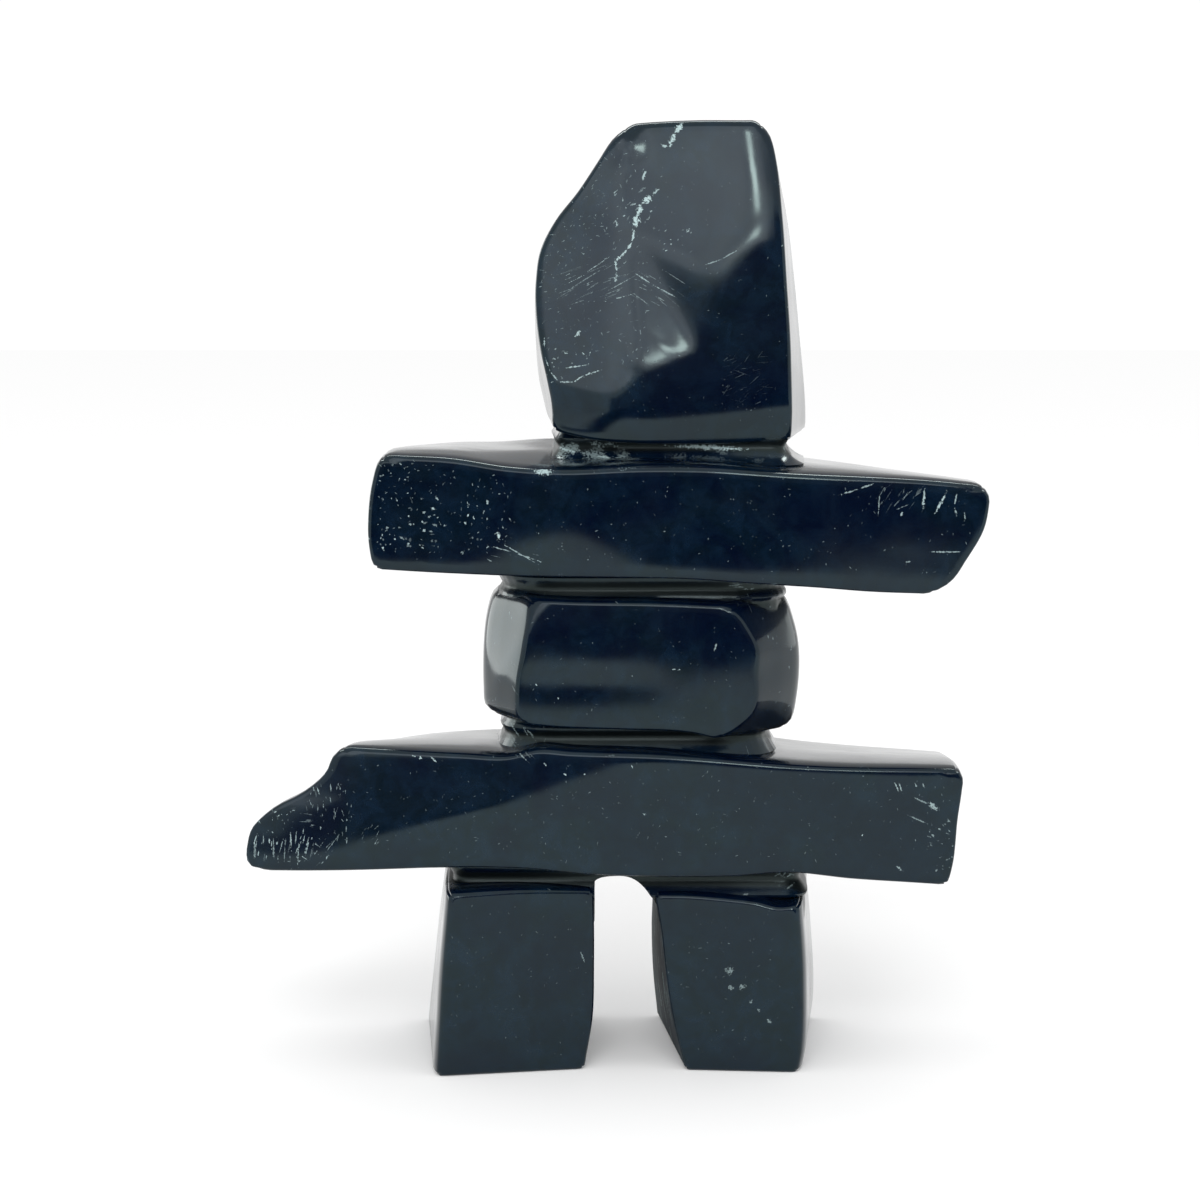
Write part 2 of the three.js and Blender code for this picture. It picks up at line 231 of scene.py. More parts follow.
def stone(
    name, width, depth, height, base, start, left, right, upper, front, back, lower=flat,
    left_back=flat, right_back=flat, upper_back=flat,
    lower_corner=CORNER_RADIUS, upper_corner=CORNER_RADIUS,
):
    """One stone: a fine box bent to its outline, with shares as in the solids."""
    half = np.array((width, depth, height)) / 2
    points, quads = box_grid(*(rows(size, ARRIS_RADIUS) for size in half))
    inner = np.clip(points, ARRIS_RADIUS - half, half - ARRIS_RADIUS)
    away = points - inner
    away /= np.linalg.norm(away, axis=1)[:, None]
    points = round_corners(inner + away * ARRIS_RADIUS, half, lower_corner, upper_corner)
    across, deep, up = (points / (2 * half) + 0.5).T
    left_end = start + height * left(up) + left_back(deep, up)
    right_end = start + width - height * right(up) + right_back(deep, up)
    x = left_end + (right_end - left_end) * across
    bottom = base + height * lower(across)
    top = base + height * (upper(across) + upper_back(across) * deep)
    for rise, reach in SWELLS:
        top += rise * (1 - (1 - np.minimum(deep / reach, 1)) ** 2 - deep)
    z = bottom + (top - bottom) * up
    near = front(across, up, x, z)
    far = back(across, up, x, z)
    y = near + (far - near) * deep
    return model(name, np.stack((x, y, z), axis=1), quads.tolist())


def eased(deep):
    """How far in a leg's side is eased: most at its front, and nothing a little way behind it."""
    return LEG_EASING * np.exp(-deep / LEG_EASING_SHARE)


def left_leg():
    """The left leg, turned a little, with its outer side nearer."""
    turn = 5.6
    turn_axis = 0.7
    outer_flare = -3.8
    outer_flare_lost = 0.5
    inner_flare = -1
    return stone(
        "left_leg", LEFT_LEG_WIDTH, LEG_DEPTH, LEG_HEIGHT, base=0, start=LEG_LEFT,
        lower_corner=1.2, upper_corner=1.2,
        left=curve((0, 0), (58, 3.6), (100, 7.2)),
        right=curve((0, 5.6), (28, 1), (58, 0), (100, 0.5)),
        upper=curve((0, 101), (47, 102), (100, 100.5)),
        left_back=lambda deep, up: outer_flare * deep * (1 - outer_flare_lost * up) + eased(deep),
        right_back=swing(inner_flare),
        front=lambda across, up, x, z: -LEG_DEPTH / 2 + turn * (across - turn_axis),
        back=lambda across, up, x, z: LEG_DEPTH / 2 - turn / 2 * (1 - across),
    )


def right_leg():
    """The right leg, with its inner side cut away towards the front and the ground."""
    turn = -1.8
    turn_axis = 0.5
    outer_flare = 5.2
    outer_flare_lost = 0.35
    inner_flare = -5.2
    back_bend = 1.5
    return stone(
        "right_leg", RIGHT_LEG_WIDTH, LEG_DEPTH, LEG_HEIGHT, base=0, start=GAP_LEFT + LEG_GAP,
        lower_corner=1.2, upper_corner=1.2,
        left=curve((0, 17.7), (27, 11.3), (55, 6.7), (79, 4.1), (100, 0.5)),
        right=curve((0, 2.6), (13, 0.5), (53, 0), (95, 2.1), (100, 2.6)),
        upper=curve((0, 98.2), (24, 98.2), (50, 96.7), (72, 94.6), (85, 92.1), (100, 93.1)),
        left_back=lambda deep, up: inner_flare * deep * (1 - up),
        right_back=lambda deep, up: outer_flare * deep * (1 - outer_flare_lost * up) - eased(deep),
        upper_back=curve((0, 0), (100, 4)),
        front=lambda across, up, x, z: -LEG_DEPTH / 2 + turn * (across - turn_axis),
        back=lambda across, up, x, z: LEG_DEPTH / 2 - back_bend * across * across,
    )


def cut(x, z, slope, toward, edge_x, edge_z):
    """How deep a plane cuts into a front: from an edge through a point, deeper towards an angle."""
    angle = math.radians(toward)
    return slope * ((x - edge_x) * math.cos(angle) + (z - edge_z) * math.sin(angle))


def mound(x, z, height, middle, reach, turn=0):
    """A low round bump on a front, its outline an ellipse turned clockwise by an angle."""
    angle = math.radians(turn)
    right = x - middle[0]
    above = z - middle[1]
    along = (right * math.cos(angle) - above * math.sin(angle)) / reach[0]
    aside = (right * math.sin(angle) + above * math.cos(angle)) / reach[1]
    return height * np.exp(-(along**2) - aside**2)


def hips():
    """A long slab with a stepped nose. The upper left of its front leans back a little."""
    taper = curve((0, 36), (8, 23), (24, 8), (50, 0), (80, 5), (100, 15))
    front_taper = 0.12
    lean_softness = 0.12

    def front(across, up, x, z):
        lean = cut(x, z, slope=0.08, toward=107.5, edge_x=-59, edge_z=HIPS_BASE + 5)
        lean = soft_larger(0, lean, lean_softness)
        return -SLAB_DEPTH * (0.5 - front_taper * taper(across)) + lean

    return stone(
        "hips", HIPS_WIDTH, SLAB_DEPTH, HIPS_HEIGHT, base=HIPS_BASE, start=HIPS_LEFT,
        lower_corner=1.6, upper_corner=1.6,
        left=curve(
            (0, 12), (3.6, 3), (10, 0), (21, 0.5), (35, 4.6), (44, 12.8),
            (53, 24.8), (61, 40.7), (71, 54.4), (80, 62.6), (93, 68.5), (100, 75.9),
        ),
        right=curve((0, 10.7), (21, 6.3), (57, 3.7), (82, 0.7), (91, 0), (100, 3.3)),
        upper=curve(
            (0, 98.9), (9, 97.4), (20, 95.2), (27, 94.1), (32, 99.3),
            (37, 97.8), (50, 95.9), (58, 93.3), (75, 86.7), (100, 83.7),
        ),
        lower=curve(
            (0, 2.6), (12, 3.4), (26, 6), (39, 5.6), (48, 0.8), (68, -0.5),
            (77, 2.4), (86, -2.6), (100, -8.2),
        ),
        left_back=swing(5),
        right_back=swing(1.5),
        upper_back=curve((0, -13), (10, -9), (20, -7), (32, -6), (60, -8), (80, -11), (100, -13)),
        front=front,
        back=lambda across, up, x, z: SLAB_DEPTH * (0.5 - taper(across)),
    )


def body():
    """A block with barrel sides and broad chamfers up its four corners."""
    chamfer = curve((0, 100), (10, 66), (20, 32), (30, 4), (38, 0), (62, 0), (72, 8), (100, 100))
    left_chamfer = curve((0, 26), (30, 27), (60, 31), (85, 30), (100, 25))
    right_chamfer = curve((0, 54), (8, 46), (20, 36), (50, 35), (68, 33), (85, 37), (100, 42))
    inset = 0.6
    hollow_height = BODY_BASE + 11.1
    hollow_size = 3.5
    hollow_depth = 0.13
    hollow_end = 16
    sliver_softness = 0.14
    lean_softness = 0.25

    def front(across, up, x, z):
        hollow = hollow_depth * np.exp(-(((z - hollow_height) / hollow_size) ** 2))
        hollow *= 1 - smooth(x, 0, hollow_end)
        sliver = cut(x, z, slope=0.33, toward=148, edge_x=-16.9, edge_z=BODY_BASE + 24.7)
        lean = cut(x, z, slope=0.045, toward=93, edge_x=0, edge_z=BODY_BASE + 15.5)
        sliver = soft_larger(0, sliver, sliver_softness)
        lean = soft_larger(0, lean, lean_softness)
        return -BODY_DEPTH / 2 + inset + hollow + sliver + lean

    return stone(
        "body", BODY_WIDTH, BODY_DEPTH, BODY_HEIGHT, base=BODY_BASE, start=BODY_LEFT,
        left=curve((0, 6), (7, 1.5), (20, 0.3), (55, 0.6), (75, 2.6), (92, 7), (100, 11)),
        right=curve((0, 10), (8, 5.4), (24, 2.2), (46, 0.6), (68, 2.2), (86, 7), (100, 12)),
        upper=curve((0, 100), (20, 98.5), (60, 97.5), (100, 95)),
        lower=curve((0, 9), (8, 7.5), (20, 6), (50, 4.5), (85, 2), (100, -3)),
        upper_corner=3,
        left_back=lambda deep, up: BODY_HEIGHT * left_chamfer(up) * chamfer(deep),
        right_back=lambda deep, up: -BODY_HEIGHT * right_chamfer(up) * chamfer(deep),
        front=front,
        back=lambda across, up, x, z: BODY_DEPTH / 2,
    )


def arms():
    """A long slab, cut slanting at its right end, with the foot of its front turned under."""
    taper = curve((0, 24), (10, 13), (30, 4), (55, 0), (80, 10), (100, 28))
    front_taper = 0.08
    patch_edge = ARMS_BASE - 3
    patch_rise = 14
    patch_middle = -12
    patch_reach = 19
    patch_slope = 0.045
    patch_softness = 3
    foot_share = 0.07
    foot_slope = 0.07
    foot_softness = 0.8

    def front(across, up, x, z):
        edge = patch_edge + patch_rise * np.exp(-(((x - patch_middle) / patch_reach) ** 2))
        patch = patch_slope * soft_larger(0, edge - z, patch_softness)
        foot = foot_slope * soft_larger(0, (foot_share - up) * ARMS_HEIGHT, foot_softness)
        return -SLAB_DEPTH * (0.5 - front_taper * taper(across)) + patch + foot

    return stone(
        "arms", ARMS_WIDTH, SLAB_DEPTH, ARMS_HEIGHT, base=ARMS_BASE, start=ARMS_LEFT,
        lower_corner=2, upper_corner=3,
        left=curve((0, 4.2), (24, 0.4), (41, 0), (68, 2.5), (100, 10)),
        right=curve((0, 48), (12, 32), (31, 19.5), (59, 4.6), (82, 0.2), (90, 0), (100, 2)),
        upper=curve(
            (0, 110.4), (3, 110), (12, 107.5), (21, 100.4), (30, 97.5),
            (43, 100), (53, 99.6), (69, 94.2), (89, 89.2), (100, 83.3),
        ),
        lower=curve(
            (0, 12.2), (13, 8.4), (33, 4.8), (55, 3.8), (66, 0.2), (80, -4.6),
            (89, -8), (100, -10.2),
        ),
        right_back=swing(2),
        upper_back=curve((0, -4), (15, 5), (27, 15), (50, 9), (72, 1), (88, -5.5), (100, -10)),
        front=front,
        back=lambda across, up, x, z: SLAB_DEPTH * (0.5 - taper(across)),
    )


def head():
    """An upright stone whose front is cut in seven facets, with two low bumps and a ridge."""
    softness = 0.45
    turn = 0.12
    turn_softness = 8
    right_flare = 6.8
    right_rise = curve((0, 79), (20, 72), (34, 62), (52, 57), (77, 41), (85, 29), (100, 10))
    left_flare = -3.2
    left_rise = curve((0, 45), (9, 80), (15, 82), (28, 50), (41, 25), (60, 8), (80, 0))
    back_lean = 5
    foot_softness = 1.35
    low_fold = 0.27
    high_fold = 1.26

    def front(across, up, x, z):
        brow = cut(x, z, slope=0.28, toward=134, edge_x=19.7, edge_z=HEAD_BASE + 34.7)
        cheek = cut(x, z, slope=0.28, toward=171.5, edge_x=19.7, edge_z=HEAD_BASE + 34.7)
        nose = cut(x, z, slope=0.19, toward=105.7, edge_x=11.9, edge_z=HEAD_BASE + 17.2)
        jaw = cut(x, z, slope=0.28, toward=143, edge_x=4.8, edge_z=HEAD_BASE + 15.2)
        chin = cut(x, z, slope=0.28, toward=180, edge_x=-1, edge_z=HEAD_BASE)
        crown = cut(x, z, slope=0.23, toward=90, edge_x=0, edge_z=HEAD_BASE + 44.5)
        foot = cut(x, z, slope=0.22, toward=-84, edge_x=0, edge_z=HEAD_BASE + 2.4)
        high = soft_larger(brow, cheek, softness)
        low = soft_larger(soft_larger(nose, jaw, softness / 2), chin, softness)
        facets = soft_larger(soft_smaller(high, low, softness), crown, softness)
        facets = soft_larger(facets, foot, foot_softness)
        fold = low_fold + (high_fold - low_fold) * smooth(z, HEAD_BASE + 20, HEAD_BASE + 38)
        top_bump = mound(x, z, height=0.5, middle=(2.5, HEAD_BASE + 61), reach=(3, 3.4))
        low_bump = mound(x, z, height=0.16, middle=(3.6, HEAD_BASE + 17.4), reach=(1.4, 1.8))
        ridge = mound(x, z, height=0.1, middle=(9.2, HEAD_BASE + 20.4), reach=(2.6, 0.8), turn=36)
        turned = -HEAD_DEPTH / 2 + turn * soft_larger(0, x, turn_softness)
        return turned + soft_larger(0, facets, fold) - top_bump - low_bump - ridge

    return stone(
        "head", HEAD_WIDTH, HEAD_DEPTH, HEAD_HEIGHT, base=HEAD_BASE, start=HEAD_LEFT,
        lower_corner=1.6, upper_corner=3.4,
        left=curve(
            (0, 4.6), (9, 4.3), (15, 3.2), (28, 0.5), (42, -0.9), (49, -0.8), (59, 0.7),
            (69, 5.7), (78, 12.5), (88, 19), (95, 23.5), (100, 28.3),
        ),
        right=curve(
            (0, -0.8), (9, -1), (21, -0.6), (34, -0.1), (52, 1.2), (71, 2.6), (87, 4.2),
            (95, 6.2), (100, 9.2),
        ),
        upper=curve((0, 98.5), (15, 99.1), (51, 99.7), (93, 99.7), (100, 99.8)),
        lower=curve((0, 3.3), (9, 1.5), (21, 0), (53, -1.1), (100, -0.3)),
        left_back=lambda deep, up: left_flare * deep * left_rise(up),
        right_back=lambda deep, up: right_flare * deep * right_rise(up),
        upper_back=curve((0, -4), (100, -3)),
        front=front,
        back=lambda across, up, x, z: HEAD_DEPTH / 2 - back_lean * up * up,
    )


# The necks as they are in the solids, with the bare band that shows between two stones, the level
# where the groove is deepest, and how far the foot runs out over the stone below
NECKS = {
    "leg_neck": {
        "left": LEG_LEFT + 2.4,
        "right": GAP_LEFT + LEG_GAP + RIGHT_LEG_WIDTH + 0.6,
        "half_depth": LEG_DEPTH / 2 - LEG_NECK_RECESS,
        "band": (LEG_HEIGHT - 1, HIPS_BASE + 0.6),
        "narrow": LEG_HEIGHT + 2.2,
        "corner": 4,
        "spread": 1.2,
    },
    "waist": {
        "left": BODY_LEFT + 4,
        "right": BODY_LEFT + BODY_WIDTH - 6.4,
        "half_depth": BODY_DEPTH / 2 - WAIST_RECESS,
        "band": (BODY_BASE - WAIST_HEIGHT - 2.4, BODY_BASE + 0.6),
        "narrow": BODY_BASE - 1,
        "corner": 12,
    },
    "shoulders": {
        "left": BODY_LEFT + 3.6,
        "right": BODY_LEFT + BODY_WIDTH - 3.2,
        "half_depth": BODY_DEPTH / 2 - SHOULDER_NECK_RECESS,
        "band": (ARMS_BASE - SHOULDER_NECK_HEIGHT, ARMS_BASE),
        "narrow": ARMS_BASE - 2,
        "corner": 14,
    },
    "head_neck": {
        "left": HEAD_LEFT + 3.2,
        "right": HEAD_LEFT + HEAD_WIDTH + 0.6,
        "half_depth": HEAD_DEPTH / 2 - HEAD_NECK_RECESS,
        "band": (HEAD_BASE - HEAD_NECK_HEIGHT, HEAD_BASE),
        "narrow": HEAD_BASE - 1.4,
        "foot": 2.2,
        "corner": 3,
        "spread": 0.8,
    },
}


def bend(start, tip, end, count):
    """Points along a rounded corner."""
    share = np.linspace(0, 1, count)[:, None]
    points = (1 - share) ** 2 * np.array(start) + 2 * share * (1 - share) * np.array(tip)
    return points + share**2 * np.array(end)


def neck_plan(half_width, half_depth, corner):
    """Even points round a rectangle with round corners, anticlockwise from above."""
    sides = ((1, -1), (1, 1), (-1, 1), (-1, -1))
    ways = np.array(((1, 0), (0, 1), (-1, 0), (0, -1), (1, 0)), float)
    bends = []
    for turn, side in enumerate(sides):
        tip = np.array(side) * (half_width, half_depth)
        start = tip - corner * ways[turn]
        end = tip + corner * ways[turn + 1]
        bends.append(bend(start, tip, end, count=9))
    line = np.concatenate((*bends, bends[0][:1]))
    run = np.concatenate(([0], np.cumsum(np.linalg.norm(np.diff(line, axis=0), axis=1))))
    places = np.linspace(0, run[-1], round(run[-1] / NECK_SPACING), endpoint=False)
    return np.stack([np.interp(places, run, line[:, axis]) for axis in (0, 1)], axis=1)


def neck(name, left, right, half_depth, band, narrow, corner, foot=0, spread=0):
    """A grooved neck that keeps the level cuts of the saw and the roughness of the file."""
    hollow = 0.02
    groove_fade = 1.5
    foot_height = 1.1
    inset = 0.08
    saw_depth = 0.02
    saw_spacing = 1.1
    nearly_level = (0.06, 0.06, 1)
    file_depth = 0.012
    file_spacing = 1.9
    fine_reach = 3
    low, high = band
    half_width = (right - left) / 2
    bottom = low - NECK_BITE
    top = high + NECK_BITE
    plan = neck_plan(half_width, half_depth, corner)
    bare_and_shaded = np.arange(low - fine_reach, high + fine_reach, NECK_SPACING)
    levels = np.concatenate(([bottom, low - fine_reach - 1], bare_and_shaded, [high + fine_reach + 1, top]))
    around = len(plan)
    outward = np.roll(plan, -1, axis=0) - np.roll(plan, 1, axis=0)
    outward = np.stack((outward[:, 1], -outward[:, 0]), axis=1)
    outward /= np.linalg.norm(outward, axis=1)[:, None]
    rings = []
    for level in levels:
        rise = 2 * (level - bottom) / (top - bottom) - 1
        ring = plan * (1 - hollow * (1 - rise * rise))
        ring[:, 0] *= 1 + spread / half_width * plan[:, 1] / half_depth
        points = np.column_stack((ring, np.full(around, level)))
        cuts = saw_depth * waves(points * nearly_level, saw_spacing, seed=11)
        grain = file_depth * waves(points, file_spacing, seed=12)
        groove = GROOVE_SLANT * (math.hypot(level - narrow, GROOVE_ROUND) - GROOVE_ROUND)
        groove *= smooth(level, low - groove_fade, low) * (1 - smooth(level, high, high + groove_fade))
        groove += foot * math.exp(-max(level - low, 0) / foot_height)
        points[:, :2] += outward * (groove - inset - cuts - grain)[:, None]
        rings.append(points)
    points = np.concatenate((*rings, [[0, 0, bottom], [0, 0, top]]))
    points[:, 0] += (left + right) / 2
    here = np.arange(around)
    after = np.roll(here, -1)
    faces = []
    for row in range(len(levels) - 1):
        under = row * around
        over = under + around
        quads = (under + here, under + after, over + after, over + here)
        faces += np.stack(quads, axis=1).tolist()
    last = (len(levels) - 1) * around
    faces += [(a, len(points) - 2, b) for a, b in zip(here.tolist(), after.tolist())]
    faces += [(last + a, last + b, len(points) - 1) for a, b in zip(here.tolist(), after.tolist())]
    return model(name, points, faces)


def crotch():
    """The arched gap between the legs, as a cutter that follows the right leg's slanting wall."""
    right = GAP_LEFT + LEG_GAP
    crown = HIPS_BASE - 1.2
    foot = LEG_HEIGHT - 3 * NECK_BITE
    peak = ((GAP_LEFT + right) / 2 - 1, crown)
    left_spring = (GAP_LEFT, crown - 1.2)
    right_spring = (right + 0.7, LEG_HEIGHT - 3.5)
    right_foot = (right + 3, foot)
    outline = np.concatenate((
        [(GAP_LEFT, foot), right_foot],
        bend(right_spring, (right - 2.5, crown), peak, count=12),
        bend(peak, (GAP_LEFT + 1, crown), left_spring, count=12)[1:],
    ))
    count = len(outline)
    points = [(x, y, z) for y in (-LEG_DEPTH, LEG_DEPTH) for x, z in outline]
    faces = [list(range(count)), list(range(2 * count - 1, count - 1, -1))]
    faces += [(i, i + count, (i + 1) % count + count, (i + 1) % count) for i in range(count)]
    return model("crotch", np.array(points), faces)


def booled(base, others, operation):
    """Joins the others to the base, or cuts them out of it."""
    for other in others:
        step = base.modifiers.new(other.name, "BOOLEAN")
        step.operation = operation
        step.solver = "MANIFOLD"
        step.object = other
    return base


def one_block():
    """All the stones and necks as one closed mesh."""
    necks = [neck(name, **sizes) for name, sizes in NECKS.items()]
    gap = crotch()
    booled(necks[0], [gap], "DIFFERENCE")
    stones = [left_leg(), right_leg(), hips(), body(), arms(), head()]
    whole = booled(stones[0], stones[1:] + necks, "UNION")
    bpy.context.view_layer.update()
    graph = bpy.context.evaluated_depsgraph_get()
    mesh = bpy.data.meshes.new_from_object(whole.evaluated_get(graph))
    for made in (*stones, *necks, gap):
        old = made.data
        bpy.data.objects.remove(made)
        bpy.data.meshes.remove(old)
    return mesh


def read(items, what, width, kind=np.float32):
    """Numbers of a mesh's points, faces or corners as an array."""
    values = np.zeros(len(items) * width, kind)
    items.foreach_get(what, values)
    return values.reshape(-1, width) if width > 1 else values


def neck_distance(points, sizes):
    """How far the points lie outside a neck's walls, seen from above."""
    middle = ((sizes["left"] + sizes["right"]) / 2, 0)
    half = np.array(((sizes["right"] - sizes["left"]) / 2, sizes["half_depth"]))
    beyond = np.abs(points[:, :2] - middle) - half + sizes["corner"]
    outside = np.linalg.norm(np.maximum(beyond, 0), axis=1)
    return outside + np.minimum(beyond.max(axis=1), 0) - sizes["corner"]


def store(mesh, name, values):
    """Keeps one number for each point of the mesh, for the material."""
    made = mesh.attributes.new(name, "FLOAT", "POINT")
    made.data.foreach_set("value", np.asarray(values, np.float32))


# Each side that carries marks: its two axes, the axis that points out of it, which way, and
# where it lies along that axis. The gap's side is the right leg's inner wall.
ANYWHERE = (-300, 300)
SIDES = {
    "front": ((0, 2), 1, -1, ANYWHERE),
    "back": ((0, 2), 1, 1, ANYWHERE),
    "left": ((1, 2), 0, -1, ANYWHERE),
    "right": ((1, 2), 0, 1, ANYWHERE),
    "top": ((0, 1), 2, 1, ANYWHERE),
    "arms_top": ((0, 1), 2, 1, (ARMS_BASE + 12, HEAD_BASE)),
    "gap": ((1, 2), 0, -1, (-4, 18)),
}
MARK_LAYERS = 4


def bent(width, strength, *points):
    """A bent mark on the front, with one stroke between each two of its points."""
    return [("front", start, end, width, strength) for start, end in zip(points, points[1:])]


def scatter(low, high, count, length, angle, spread, width, strength, seed, side="front"):
    """Small strokes over the rectangle from low to high, about one length and angle in degrees."""
    random = np.random.default_rng(seed)
    strokes = []
    for _ in range(count):
        middle = random.uniform(low, high)
        turn = math.radians(random.normal(angle, spread))
        half = random.uniform(0.15, 0.5) * length * np.array((math.cos(turn), math.sin(turn)))
        wide = width * random.uniform(0.6, 1.4)
        strong = strength * random.uniform(0.35, 1) ** 2
        strokes.append((side, middle - half, middle + half, wide, strong))
    return strokes


# The pale vein, the hatching at its foot, the hooked scratch and the specks
HEAD_MARKS = (
    bent(1.1, 1, (13.2, 199.4), (11.6, 197.4), (10.4, 194.4)),
    bent(0.6, 0.8, (10.4, 194.4), (8.6, 195)),
    bent(0.5, 0.8, (5.6, 189.6), (4.8, 187.6)),
    bent(0.5, 0.7, (8.6, 186), (6.6, 184.4), (5.6, 182.6)),
    bent(1.3, 1, (7, 184.4), (4.6, 182.6), (3.8, 180.6), (3.2, 177.6)),
    bent(0.5, 0.9, (3.2, 177.6), (2.6, 174.6), (1.6, 173.2), (-0.9, 170.7)),
    bent(0.5, 0.8, (-0.9, 171.4), (-0.5, 168.6), (-0.9, 166.4)),
    scatter((-1, 177), (8, 186), 34, 1.6, 50, 30, 0.25, 0.9, 31),
    scatter((-11, 163), (0, 170), 70, 8, 26, 6, 0.17, 0.6, 32),
    scatter((-4, 166), (2, 171.5), 36, 2.6, 40, 35, 0.17, 0.7, 33),
    bent(0.25, 0.6, (2.4, 169), (7, 166), (12.6, 163)),
    scatter((3, 162), (13, 168), 24, 5, -34, 7, 0.14, 0.45, 34),
    scatter((8, 172.5), (15, 177.5), 14, 0.9, 34, 10, 0.22, 0.8, 29),
    bent(0.5, 0.8, (14, 176.8), (14.6, 177.6)),
    bent(0.3, 0.45, (17.7, 170.1), (21, 171.2), (24.9, 173.4)),
    bent(0.8, 0.8, (-9.2, 155.2), (-8.1, 156.6)),
    bent(0.3, 0.7, (-15.4, 150.8), (-14.4, 148), (-12.6, 145.9), (-9.4, 145.9)),
    bent(0.35, 0.8, (-9.4, 145.9), (-7.6, 147.2), (-3.8, 148.4)),
    bent(0.35, 0.8, (-11, 148.8), (-6.5, 149.5)),
    bent(0.3, 0.7, (-15.6, 152.6), (-15.6, 155.4)),
    scatter((-16, 145), (-6, 153), 50, 0.9, 30, 50, 0.25, 0.9, 35),
    scatter((-16, 150), (6, 196), 420, 1, 40, 50, 0.15, 0.42, 36),
    scatter((-17, 160), (-10, 178), 130, 1.4, 20, 30, 0.16, 0.5, 37),
    scatter((-10, 176), (-4, 181.5), 22, 1.6, -20, 10, 0.2, 0.9, 30),
    scatter((-11, 172.4), (-5, 173.6), 16, 0.7, 0, 10, 0.24, 0.9, 28),
    scatter((22, 141), (31, 152), 50, 3.4, 25, 20, 0.12, 0.14, 38),
    scatter((0, 136), (36, 198), 150, 0.7, 80, 60, 0.13, 0.3, 39),
)

# Pale specks at the left end, a few long scratches, and strokes at the right end
ARMS_MARKS = (
    scatter((-50, 112), (-38, 117), 34, 1.2, 60, 60, 0.36, 1, 51),
    scatter((-46, 117), (-37, 123), 18, 1.2, 60, 60, 0.34, 0.9, 43),
    scatter((-50, 111), (-37, 117), 70, 0.7, 60, 60, 0.2, 0.7, 44),
    scatter((-50, 122), (-42, 130), 70, 0.8, 60, 60, 0.2, 0.7, 45),
    scatter((-50, 111), (-37, 130), 90, 0.7, 60, 60, 0.16, 0.5, 46),
    scatter((-50, 121), (-41, 130), 50, 3, 118, 12, 0.16, 0.7, 50),
    scatter((-38, 111), (-24, 128), 20, 1.1, 80, 50, 0.3, 0.9, 52),
    scatter((-38, 110), (-22, 128), 90, 0.7, 60, 50, 0.16, 0.5, 47),
    scatter((-25, 112), (-20, 126), 26, 2, 60, 8, 0.25, 0.9, 49, side="left"),
    bent(0.3, 0.8, (-46, 130.8), (-44.4, 129), (-42.6, 126.8)),
    bent(0.3, 0.7, (-39.2, 124.9), (-37.7, 123.3)),
    bent(0.3, 0.9, (-31.4, 121.8), (-30.7, 118), (-30.2, 115.7)),
    bent(0.7, 0.9, (-32.1, 117.4), (-30.6, 116.7)),
    bent(0.4, 0.8, (-28.1, 121.2), (-27.6, 119.4)),
    bent(0.35, 0.7, (-27.4, 122.3), (-27, 119.2)),
    bent(1.1, 1, (-25.6, 115.5), (-24, 113.9)),
    bent(0.25, 0.6, (-27, 112.6), (-22, 111.2), (-16.4, 109.3)),
    bent(0.25, 0.6, (-24.6, 113.2), (-17.2, 108.9)),
    scatter((-27, 109), (-16, 113), 16, 2.2, -22, 6, 0.18, 0.6, 48),
    bent(1.4, 0.9, (-17.6, 127.9), (-13.6, 127.9)),
    bent(0.35, 0.6, (45.4, 123.1), (49.6, 124.4), (52.4, 125.4)),
    bent(0.5, 0.8, (63, 124.6), (62.7, 119.9)),
    bent(0.5, 0.9, (67.5, 123.5), (65.1, 119)),
    bent(0.35, 0.7, (69.7, 123.2), (69.1, 120.9)),
    bent(0.4, 0.6, (69.3, 120.3), (69.7, 118.6)),
    bent(0.35, 0.6, (71.3, 119.4), (71.5, 117.8)),
    bent(0.25, 0.5, (53.7, 123.6), (53.4, 118.6)),
    bent(0.6, 0.7, (58.4, 119.5), (58.1, 118.6)),
    bent(0.3, 0.6, (64, 111.2), (70.6, 111.2)),
    bent(0.35, 0.5, (59.3, 109.1), (60.3, 109.3)),
    scatter((54, 120), (63, 125), 30, 3, 50, 12, 0.2, 0.5, 53),
    scatter((-20, 106), (74, 127), 150, 0.7, 30, 60, 0.16, 0.45, 54),
)

